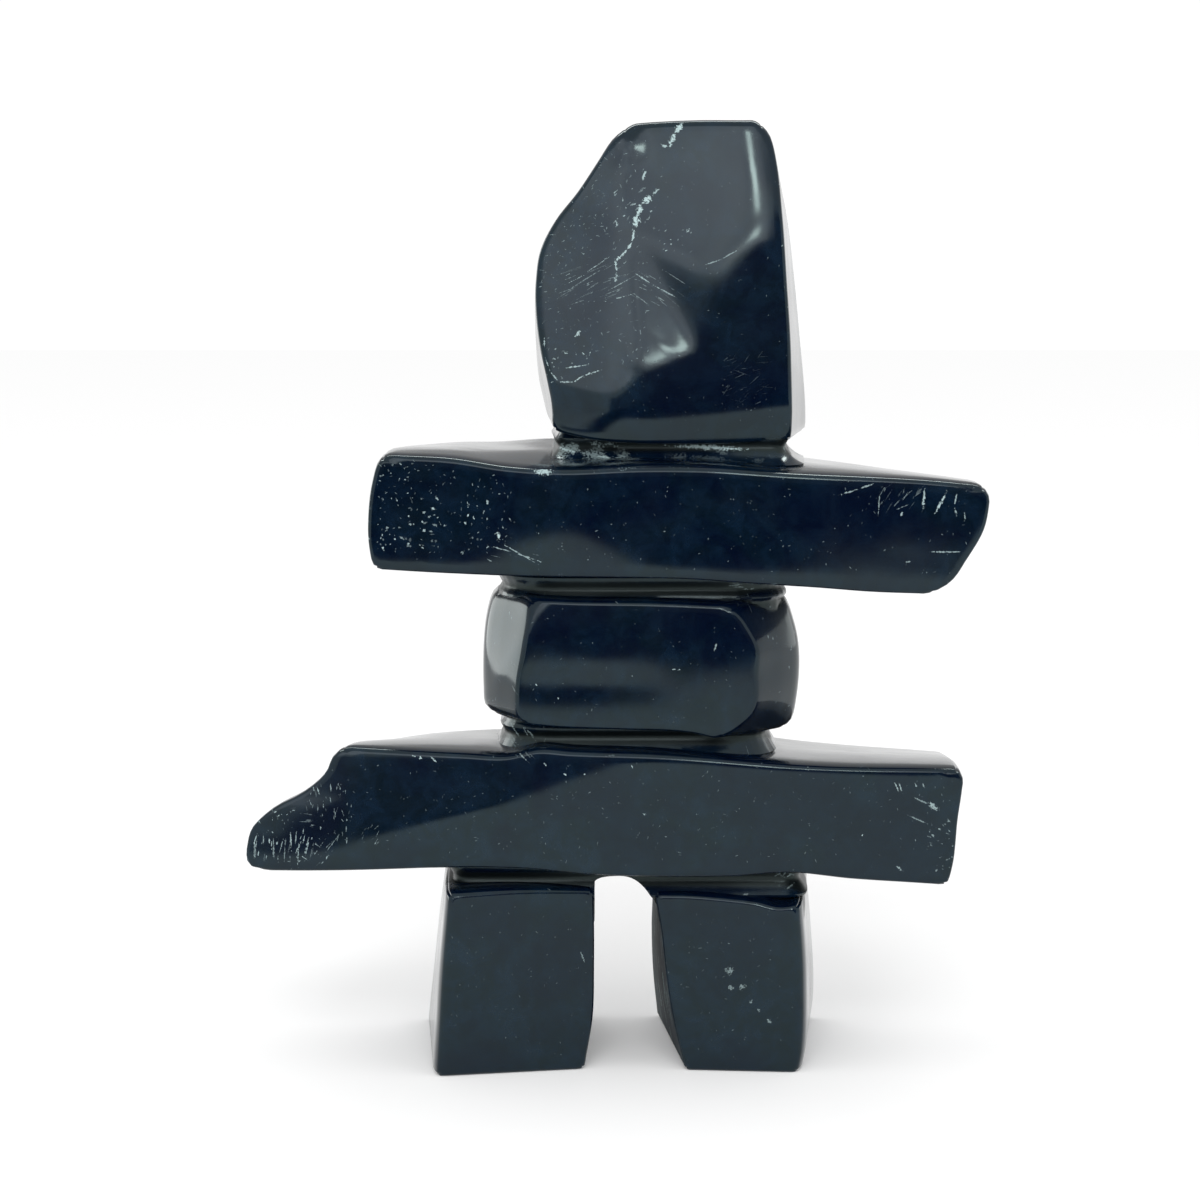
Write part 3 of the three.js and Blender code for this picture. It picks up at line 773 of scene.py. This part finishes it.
# The hatching on the nose, specks below the upper arris, and scratches at the right end
HIP_MARKS = (
    scatter((-77, 46.5), (-64, 51), 50, 4.6, 78, 8, 0.26, 0.95, 55),
    scatter((-74, 46), (-64, 50), 14, 4, -22, 8, 0.2, 0.8, 60),
    scatter((-67, 46), (-60, 50), 20, 6, 48, 6, 0.2, 0.7, 61),
    scatter((-77, 50), (-68, 57), 120, 1.2, 70, 50, 0.2, 0.75, 62),
    scatter((-72, 53), (-64, 56), 24, 3, 0, 7, 0.18, 0.6, 63),
    scatter((-66, 50), (-56, 62), 70, 1.8, 90, 14, 0.2, 0.7, 64),
    bent(0.4, 0.9, (-66.4, 51.3), (-66.7, 48.9)),
    bent(0.35, 0.8, (-62.5, 53.9), (-62.6, 51)),
    bent(0.4, 0.9, (-61.9, 47.2), (-55.7, 51.9)),
    bent(0.3, 0.6, (-64.9, 48.3), (-58.3, 51.2)),
    bent(0.7, 0.9, (-61.6, 57), (-61.2, 56.8)),
    scatter((-54, 50), (-50, 53.5), 12, 1.6, 52, 8, 0.2, 0.6, 65),
    bent(0.4, 0.8, (-43.3, 68.2), (-42.6, 68)),
    bent(0.7, 0.9, (-41.9, 67.8), (-41.2, 67.6)),
    bent(0.35, 0.8, (-39.4, 68), (-38, 66.7)),
    bent(0.35, 0.8, (-15.7, 66.9), (-15.2, 66.2)),
    bent(0.35, 0.8, (-11.6, 64.8), (-11, 64.3)),
    bent(0.35, 0.8, (-7.4, 64.8), (-6.9, 64.3)),
    bent(0.3, 0.7, (2.5, 66.6), (2.9, 65.9)),
    bent(0.5, 0.7, (5, 56.3), (5.5, 55.9)),
    bent(0.3, 0.7, (57.5, 63), (58.5, 60.7)),
    bent(0.3, 0.7, (58.3, 63), (59.2, 60.7)),
    bent(0.25, 0.6, (61.7, 62.8), (62.3, 61.6)),
    bent(0.25, 0.6, (63.4, 62.6), (63.9, 61.6)),
    bent(1, 0.7, (64.7, 58.5), (67, 56.8)),
    bent(0.4, 0.5, (61.8, 59.5), (64.7, 58.2)),
    bent(0.3, 0.4, (60.5, 55.8), (65.1, 53.7)),
    bent(0.5, 0.9, (50.8, 51.6), (51, 51.5)),
    bent(0.5, 0.6, (58.2, 44.9), (59.5, 43.9)),
    bent(0.6, 0.7, (68.8, 54.9), (69.3, 54.3)),
    scatter((64.5, 49), (69.5, 54), 30, 1, -40, 20, 0.25, 0.6, 66),
    scatter((66.5, 44), (70, 52), 40, 1, 60, 40, 0.3, 0.45, 67),
    scatter((-56, 46), (70, 67), 300, 0.8, 45, 60, 0.13, 0.35, 56),
    scatter((-50, -24), (75, 24), 160, 2.4, 20, 60, 0.16, 0.3, 57, side="top"),
    scatter((-22, 46), (22, 66), 60, 4, 60, 40, 0.2, 0.5, 58, side="right"),
    scatter((-22, 46), (22, 126), 90, 3, 60, 40, 0.2, 0.5, 59, side="left"),
)

# A few specks and blots, and the file's broad strokes in the gap between the legs
BODY_AND_LEG_MARKS = (
    bent(0.35, 0.5, (19.8, 90.2), (20.3, 91.8)),
    bent(0.3, 0.7, (11, 86.3), (11.8, 86.4)),
    bent(0.35, 0.8, (12.2, 86.2), (12.8, 86.3)),
    bent(0.5, 0.9, (-12.9, 80.2), (-12.6, 80.3)),
    bent(0.5, 0.8, (-17.5, 83), (-17.2, 83.2)),
    bent(0.4, 0.8, (22.3, 84), (22.5, 84.1)),
    bent(0.4, 0.5, (2.6, 84.9), (2.8, 85)),
    scatter((-20, 76), (26, 100), 60, 0.7, 40, 60, 0.13, 0.3, 71),
    scatter((-36, 3), (36, 38), 160, 0.8, 40, 60, 0.13, 0.28, 72),
    bent(1.8, 0.4, (22.4, 22.4), (24.2, 21.6)),
    bent(1.5, 0.4, (25.4, 18.9), (26.8, 18.1)),
    bent(0.8, 0.4, (23.4, 18.9), (24, 17.6)),
    bent(0.8, 0.4, (27.6, 15.7), (28.2, 15.1)),
    bent(0.6, 0.35, (29.3, 13.7), (29.9, 13.1)),
    bent(0.8, 0.4, (31.4, 11.6), (32.2, 10.7)),
    bent(0.35, 0.4, (-8.2, 26.1), (-7.2, 23.4)),
    scatter((-19, 1), (20, 36), 46, 8, 86, 6, 2, 0.7, 73, side="gap"),
)

# The chalky dust and the bare scratches that the polishing left in the necks
NECK_MARKS = (
    bent(1, 0.9, (10.6, 132.5), (27.3, 131.7)),
    bent(2, 0.35, (-14.2, 132.4), (-8.3, 131), (-1.7, 129.8), (3, 129.2)),
    bent(0.6, 0.8, (-13.6, 132.2), (-8.6, 131)),
    bent(0.6, 0.8, (-5, 130.4), (-1.2, 129.8)),
    scatter((-14, 129), (2, 132.4), 26, 6, -18, 8, 1.6, 0.4, 91),
    scatter((4, 129), (34, 131), 8, 9, -2, 4, 1, 0.14, 92),
    bent(2.2, 0.9, (35.2, 133), (36.4, 131.4)),
    scatter((24, 102.4), (35, 105), 22, 4, -5, 12, 0.3, 0.5, 93),
    scatter((-27, 68), (-18, 72.6), 18, 4, -50, 8, 0.3, 0.7, 94),
    scatter((33, 39.4), (37, 42.8), 16, 3, 20, 20, 0.4, 0.5, 95),
    scatter((-18, -21), (4, -13), 22, 7, -8, 10, 2.4, 0.25, 96, side="arms_top"),
    scatter((4, -20), (40, -14), 10, 9, 0, 10, 1.8, 0.1, 90, side="arms_top"),
    scatter((-16, 129), (38, 134), 40, 5, 0, 8, 0.5, 0.6, 97, side="back"),
    scatter((-26, 101), (38, 105), 30, 5, 0, 8, 0.4, 0.5, 98, side="back"),
    scatter((-16, 129), (16, 134), 20, 4, 0, 8, 0.5, 0.6, 99, side="right"),
    scatter((-16, 129), (16, 134), 20, 4, 0, 8, 0.5, 0.6, 100, side="left"),
    scatter((-17, 3), (20, 37), 60, 5, 75, 20, 0.3, 0.5, 101, side="right"),
)

# Light scratches all over the back and the ends
HIDDEN_SIDE_MARKS = (
    scatter((-76, 3), (74, 198), 700, 1.2, 40, 50, 0.2, 0.5, 111, side="back"),
    scatter((-20, 74), (20, 198), 140, 1.2, 70, 30, 0.2, 0.5, 112, side="left"),
    scatter((-20, 74), (20, 198), 140, 1.2, 70, 30, 0.2, 0.5, 113, side="right"),
)


def lay_marks(mesh, marks):
    """Gives each face corner its place on up to four of the marks that cross its face."""
    far_off = 9
    squarely = 0.4
    points = read(mesh.vertices, "co", 3) * MILLIMETRES_IN_METRE
    centres = read(mesh.polygons, "center", 3) * MILLIMETRES_IN_METRE
    facing = read(mesh.polygons, "normal", 3)
    corner_point = read(mesh.loops, "vertex_index", 1, np.int32)
    corner_face = np.repeat(np.arange(len(centres)), read(mesh.polygons, "loop_total", 1, np.int32))
    used = np.zeros(len(centres), int)
    layers = np.full((MARK_LAYERS, len(corner_point), 3), far_off, np.float32)
    for side, start, end, width, strength in marks:
        axes, outward, sign, (first, last) = SIDES[side]
        middle = (np.array(start) + end) / 2
        half = np.array(end) - middle
        length = np.linalg.norm(half)
        turned = np.stack((half, (-half[1], half[0])), axis=1) / length
        reach = np.array((length, width / 2))
        near = (np.abs((centres[:, axes] - middle) @ turned) < reach + SPACING).all(axis=1)
        near &= (sign * facing[:, outward] > squarely) & (used < MARK_LAYERS)
        near &= (centres[:, outward] > first) & (centres[:, outward] < last)
        corners = np.flatnonzero(near[corner_face])
        there = (points[corner_point[corners]][:, axes] - middle) @ turned / reach
        there = np.column_stack((there, np.full(len(there), strength)))
        layers[used[corner_face[corners]], corners] = there
        used[near] += 1
    for number, values in enumerate(layers, start=1):
        made = mesh.attributes.new(f"mark_{number}", "FLOAT_VECTOR", "CORNER")
        made.data.foreach_set("vector", values.ravel())


def neck_finish(points):
    """Bare stone in painted shade on the necks' own walls, and dull stone close beside them."""
    under = 6
    bare_edge = (0.1, 0.5)
    dull_edge = (0.3, 4)
    bare_and_shaded = np.zeros(len(points))
    dull = np.zeros(len(points))
    for sizes in NECKS.values():
        low, high = sizes["band"]
        distance = neck_distance(points, sizes)
        reach = smooth(points[:, 2], low - under, low - under + 1)
        reach *= 1 - smooth(points[:, 2], high, high + 1)
        bare_and_shaded = np.maximum(bare_and_shaded, reach * (1 - smooth(distance, *bare_edge)))
        dull = np.maximum(dull, reach * (1 - smooth(distance, *dull_edge)))
    return bare_and_shaded, dull


def filed_wall(points, normals):
    """The right leg's inner wall, which was filed and never polished."""
    start = GAP_LEFT + 2
    end = start + LEG_GAP + 6
    turned_left = normals[:, 0] < -0.6
    return turned_left & (points[:, 0] > start) & (points[:, 0] < end) & (points[:, 2] < LEG_HEIGHT)


def carve():
    """The figure: one block, with hand-worked unevenness, in the frame's metres."""
    flat_foot = 0.3
    uneven_height = 3
    sharp_angle = 38
    mesh = one_block()
    mesh.name = "inukshuk_stone"
    points = read(mesh.vertices, "co", 3)
    normals = read(mesh.vertex_normals, "vector", 3)
    bare_and_shaded, dull = neck_finish(points)
    filed = filed_wall(points, normals)

    low, high = points.min(axis=0), points.max(axis=0)
    size = (cad_high[2] - cad_low[2]) / (high[2] - low[2])
    middle = (low + high) / 2
    points[:, :2] -= middle[:2]

    uneven = sum(depth * (1 + waves(points, length, seed)) for depth, length, seed in UNEVENNESS)
    uneven *= smooth(points[:, 2], flat_foot, uneven_height) * (1 - bare_and_shaded)
    points -= normals * uneven[:, None]
    points *= size
    points[:, :2] += (cad_low[:2] + cad_high[:2]) / 2
    points[:, 2] += cad_low[2]
    points = np.clip(points, cad_low, cad_high)
    mesh.vertices.foreach_set("co", points.ravel())
    mesh.update()

    # The necks' bare share, which also carries the painted shade of the grooves
    store(mesh, "bare_and_shaded", bare_and_shaded)
    store(mesh, "dull", dull)
    store(mesh, "filed", filed)
    marks = NECK_MARKS + HEAD_MARKS + ARMS_MARKS + HIP_MARKS + BODY_AND_LEG_MARKS + HIDDEN_SIDE_MARKS
    lay_marks(mesh, sum(marks, []))
    figure = placed("inukshuk_stone", mesh)
    mesh.shade_smooth()
    mesh.set_sharp_from_angle(angle=math.radians(sharp_angle))
    return figure


def node(tree, kind, inputs, **settings):
    """Adds a node. An input is a number, a colour or another node's output."""
    made = tree.nodes.new(kind)
    for name, value in settings.items():
        setattr(made, name, value)
    for key, value in inputs.items():
        if isinstance(value, bpy.types.NodeSocket):
            tree.links.new(value, made.inputs[key])
        else:
            made.inputs[key].default_value = value
    return made


def calculate(tree, operation, *values, clamp=False):
    made = node(tree, "ShaderNodeMath", dict(enumerate(values)), operation=operation, use_clamp=clamp)
    return made.outputs[0]


def between(tree, value, start, end, low=0.0, high=1.0):
    inputs = {"Value": value, "From Min": start, "From Max": end, "To Min": low, "To Max": high}
    return node(tree, "ShaderNodeMapRange", inputs, interpolation_type="SMOOTHSTEP").outputs[0]


def mixed(tree, share, first, second):
    inputs = {0: share, 6: first, 7: second}
    return node(tree, "ShaderNodeMix", inputs, data_type="RGBA").outputs[2]


def noise(tree, place, wavelength, detail=2.0, roughness=0.5, distortion=0.0):
    inputs = {
        "Vector": place, "Scale": 1 / wavelength, "Detail": detail,
        "Roughness": roughness, "Distortion": distortion,
    }
    return node(tree, "ShaderNodeTexNoise", inputs).outputs[0]


def stored(tree, name, output="Fac"):
    return node(tree, "ShaderNodeAttribute", {}, attribute_name=name).outputs[output]


def mark_share(tree, place):
    """How strongly a mark shows here: tapered strokes with ragged edges."""
    steepness = 2.5
    ragged = noise(tree, place, wavelength=0.45, detail=3, roughness=0.7)
    ragged = between(tree, ragged, 0.3, 0.7, low=-0.9, high=0.7)
    total = 0.0
    for number in range(1, MARK_LAYERS + 1):
        there = node(tree, "ShaderNodeSeparateXYZ", {0: stored(tree, f"mark_{number}", "Vector")})
        along = calculate(tree, "POWER", there.outputs[0], 2.0)
        aside = calculate(tree, "ABSOLUTE", there.outputs[1])
        inside = calculate(tree, "SUBTRACT", 1.0, calculate(tree, "ADD", along, aside))
        inside = calculate(tree, "ADD", inside, ragged)
        shape = calculate(tree, "MULTIPLY", inside, steepness, clamp=True)
        strength = calculate(tree, "MULTIPLY", shape, there.outputs[2])
        total = calculate(tree, "MAXIMUM", strength, total)
    return total


def serpentine():
    """Dark polished stone: cloudy navy and green-black, pale flecks and marks, bare necks in painted
    shade.
    """
    material = bpy.data.materials.new("polished_serpentine")
    material.use_nodes = True
    tree = material.node_tree
    shader = tree.nodes["Principled BSDF"]
    shader.inputs["IOR"].default_value = 1.42
    shader.inputs["Specular Tint"].default_value = (0.77, 1, 0.95, 1)

    # Lengths in the nodes are in millimetres
    in_metres = node(tree, "ShaderNodeTexCoord", {}).outputs["Object"]
    enlarged = {0: in_metres, "Scale": MILLIMETRES_IN_METRE}
    place = node(tree, "ShaderNodeVectorMath", enlarged, operation="SCALE").outputs[0]

    navy = (0.0003, 0.0018, 0.0092, 1)
    green = (0.0008, 0.004, 0.0092, 1)
    pale_blue = (0.0028, 0.01, 0.024, 1)
    clouds = noise(tree, place, wavelength=22, detail=4, roughness=0.6, distortion=0.8)
    clouds = between(tree, clouds, 0.4, 0.62)
    mottle = noise(tree, place, wavelength=5, detail=6, roughness=0.72, distortion=0.5)
    mottle = between(tree, mottle, 0.36, 0.68)
    mottle = calculate(tree, "MULTIPLY", mottle, between(tree, clouds, 0, 1, low=0.35, high=0.75))
    ground = mixed(tree, mottle, mixed(tree, clouds, navy, green), pale_blue)

    # Flecks: small dots in the middle of a few of the cells
    cells_in_millimetre = 0.6
    fleck_strength = 0.4
    fleck_colour = (0.1, 0.13, 0.135, 1)
    cells = node(tree, "ShaderNodeTexVoronoi", {"Vector": place, "Scale": cells_in_millimetre})
    dots = between(tree, cells.outputs["Distance"], 0.03, 0.13, low=fleck_strength, high=0)
    draw = node(tree, "ShaderNodeSeparateColor", {0: cells.outputs["Color"]}).outputs[0]
    flecks = calculate(tree, "MULTIPLY", dots, between(tree, draw, 0.7, 0.95))
    ground = mixed(tree, flecks, ground, fleck_colour)

    # Bare stone in the necks, coloured near-black as painted shade of the grooves, and pale dust in
    # the marks
    bare_and_shaded = stored(tree, "bare_and_shaded")
    marks = mark_share(tree, place)
    shaded_bare_colour = (0.002, 0.003, 0.004, 1)
    dust = (0.33, 0.43, 0.44, 1)
    ground = mixed(tree, marks, mixed(tree, bare_and_shaded, ground, shaded_bare_colour), dust)

    # The polish, a little smeared, and how much duller it is in each place
    smear = noise(tree, place, wavelength=12, detail=3, roughness=0.6)
    rough = between(tree, smear, 0.3, 0.75, low=0.09, high=0.14)
    duller = ((stored(tree, "dull"), 0.06), (bare_and_shaded, 0.2), (stored(tree, "filed"), 0.6), (marks, 0.4))
    for where, added in duller:
        rough = calculate(tree, "MULTIPLY_ADD", where, added, rough, clamp=True)

    # A fine grain all over, a coarser one on the bare stone, and sunken marks
    grain_height = 0.0012
    bare_height = 0.006
    mark_depth = 0.01
    grain = noise(tree, place, wavelength=0.35, detail=2, roughness=0.6)
    bare_grain = noise(tree, place, wavelength=0.8, detail=4, roughness=0.7)
    bare_grain = calculate(tree, "MULTIPLY", bare_grain, bare_and_shaded)
    height = calculate(tree, "MULTIPLY", grain, grain_height)
    height = calculate(tree, "MULTIPLY_ADD", bare_grain, bare_height, height)
    height = calculate(tree, "MULTIPLY_ADD", marks, -mark_depth, height)
    raised = {"Height": height, "Distance": 1 / MILLIMETRES_IN_METRE, "Strength": 1.0}
    bump = node(tree, "ShaderNodeBump", raised)

    tree.links.new(ground, shader.inputs["Base Color"])
    tree.links.new(rough, shader.inputs["Roughness"])
    tree.links.new(bump.outputs[0], shader.inputs["Normal"])
    return material


figure = carve()
figure.data.materials.clear()
figure.data.materials.append(serpentine())
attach(figure, "root")
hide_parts("inukshuk")


def plain(name, colour, glow=0.0):
    """One even colour, for the table and the cards."""
    material = bpy.data.materials.new(name)
    material.use_nodes = True
    shader = material.node_tree.nodes["Principled BSDF"]
    shader.inputs["Base Color"].default_value = (*colour, 1)
    shader.inputs["Roughness"].default_value = 0.6
    shader.inputs["Specular IOR Level"].default_value = 0
    shader.inputs["Emission Color"].default_value = (1, 1, 1, 1)
    shader.inputs["Emission Strength"].default_value = glow
    return material


def sheet(name, corners, material):
    """A flat card or table top."""
    made = model(name, np.array(corners, float), [tuple(range(len(corners)))])
    made.data.materials.append(material)
    return made


# The white table
reach = 4
sheet(
    "table",
    [(-reach, -reach, 0), (reach, -reach, 0), (reach, reach, 0), (-reach, reach, 0)],
    plain("white_table", (0.84, 0.84, 0.84), glow=0.1),
)

# The dark room behind the camera, darkest in the middle: it shows only in the polish
near_edge = -0.57
far_edge = -2.5
fade = 0.23
over_table = 0.001
cards = (
    sheet(
        "dark_floor",
        [(-0.8, far_edge, over_table), (1.6, far_edge, over_table),
         (0.6, near_edge, over_table), (-0.5, near_edge, over_table)],
        plain("dark_floor", (0.003, 0.003, 0.004)),
    ),
    sheet(
        "dark_wall",
        [(-0.8, far_edge, 0), (2.4, far_edge, 0), (2.4, far_edge, 1.2),
         (0.8, far_edge, 1.2), (0.4, far_edge, 0.45), (-0.8, far_edge, 0.45)],
        plain("dark_wall", (0.003, 0.003, 0.004), glow=0.12),
    ),
    sheet(
        "dim_back_wall",
        [(-2, 2.5, 0.56), (2, 2.5, 0.36), (1.2, 1.4, 2.4), (-1.2, 1.4, 2.4)],
        plain("grey_card", (0, 0, 0), glow=0.45),
    ),
    sheet(
        "window_view",
        [(-1.15, -2, 0.5), (0.55, -2, 0.5), (0.55, -2, 1.5), (-1.15, -2, 1.5)],
        plain("cloudy_card", (0, 0, 0)),
    ),
)
for card in cards:
    card.visible_camera = False
    card.visible_diffuse = False
    card.visible_shadow = False
    card.visible_transmission = False

# The dark floor fades in behind the table's edge
faded = cards[0].data.materials[0].node_tree
faded_place = node(faded, "ShaderNodeTexCoord", {}).outputs["Object"]
depth = node(faded, "ShaderNodeSeparateXYZ", {0: faded_place}).outputs[1]
share = between(faded, depth, near_edge - fade, near_edge, low=1, high=0)
faded.links.new(share, faded.nodes["Principled BSDF"].inputs["Alpha"])

# The window's view is a little cloudy in the polish, and brighter to the right
cloudy = cards[-1].data.materials[0].node_tree
cloudy_place = node(cloudy, "ShaderNodeTexCoord", {}).outputs["Object"]
across = node(cloudy, "ShaderNodeSeparateXYZ", {0: cloudy_place}).outputs[0]
clouds = between(cloudy, noise(cloudy, cloudy_place, wavelength=0.5), 0.35, 0.65, low=2.3, high=3.2)
brighter = 0.3
brightness = calculate(cloudy, "MULTIPLY_ADD", across, brighter, clouds)
cloudy.links.new(brightness, cloudy.nodes["Principled BSDF"].inputs["Emission Strength"])
cloudy.nodes["Principled BSDF"].inputs["Emission Color"].default_value = (1.1, 1, 1.09, 1)


def soft_light(name, location, aim, width, height, radiance):
    """A softbox of a given brightness, turned to a point."""
    light = bpy.data.lights.new(name, "AREA")
    light.shape = "RECTANGLE"
    light.size = width
    light.size_y = height
    light.energy = radiance * math.pi * width * height
    made = placed(name, light)
    made.location = location
    made.rotation_mode = "QUATERNION"
    made.rotation_quaternion = (Vector(aim) - Vector(location)).to_track_quat("-Z", "Y")
    made.visible_camera = False
    return made


# The window and the fill only light things, and the lamps only show in the polish
window = soft_light("window", (-0.3, -2.0, 0.98), (0, 0, 0.15), 1.7, 1.1, 1.7)
window.visible_glossy = False
fill = soft_light("front_fill", (0, -1.6, 1.4), (0, 0, 0), 1, 0.6, 7)
fill.visible_glossy = False
lamps = (
    soft_light("left_softbox", (-1.2, 0.7, 0.35), (0, 0, 0.1), 0.9, 0.9, 2.9),
    soft_light("right_softbox", (1.3, 0.85, 0.3), (0, 0, 0.1), 0.5, 0.7, 1.2),
    soft_light("high_lamp", (0, 0.55, 1.35), (0, 0, 0.12), 1.8, 0.3, 16),
    soft_light("line_lamp", (0.22, -1.6, 0.9), (0, 0, 0.18), 0.12, 0.18, 18),
    soft_light("glow_lamp", (0.235, -1.6, 0.565), (0, 0, 0.16), 0.12, 0.09, 16),
)
for lamp in lamps:
    lamp.visible_diffuse = False

world = bpy.data.worlds.new("white_room")
world.use_nodes = True
world.node_tree.nodes["Background"].inputs["Color"].default_value = (1, 1, 1, 1)
world.node_tree.nodes["Background"].inputs["Strength"].default_value = 1.03
bpy.context.scene.world = world
bpy.context.scene.view_settings.view_transform = "Standard"

# The camera stands where the photographer stood, looking a little down
tilt = 7.162
camera_data = bpy.data.cameras.new("camera")
camera_data.sensor_width = 36
camera_data.lens = 85.95
camera = placed("camera", camera_data)
camera.location = (-0.004, -0.6129, 0.17525)
camera.rotation_euler = (math.radians(90 - tilt), 0, 0)
bpy.context.scene.camera = camera
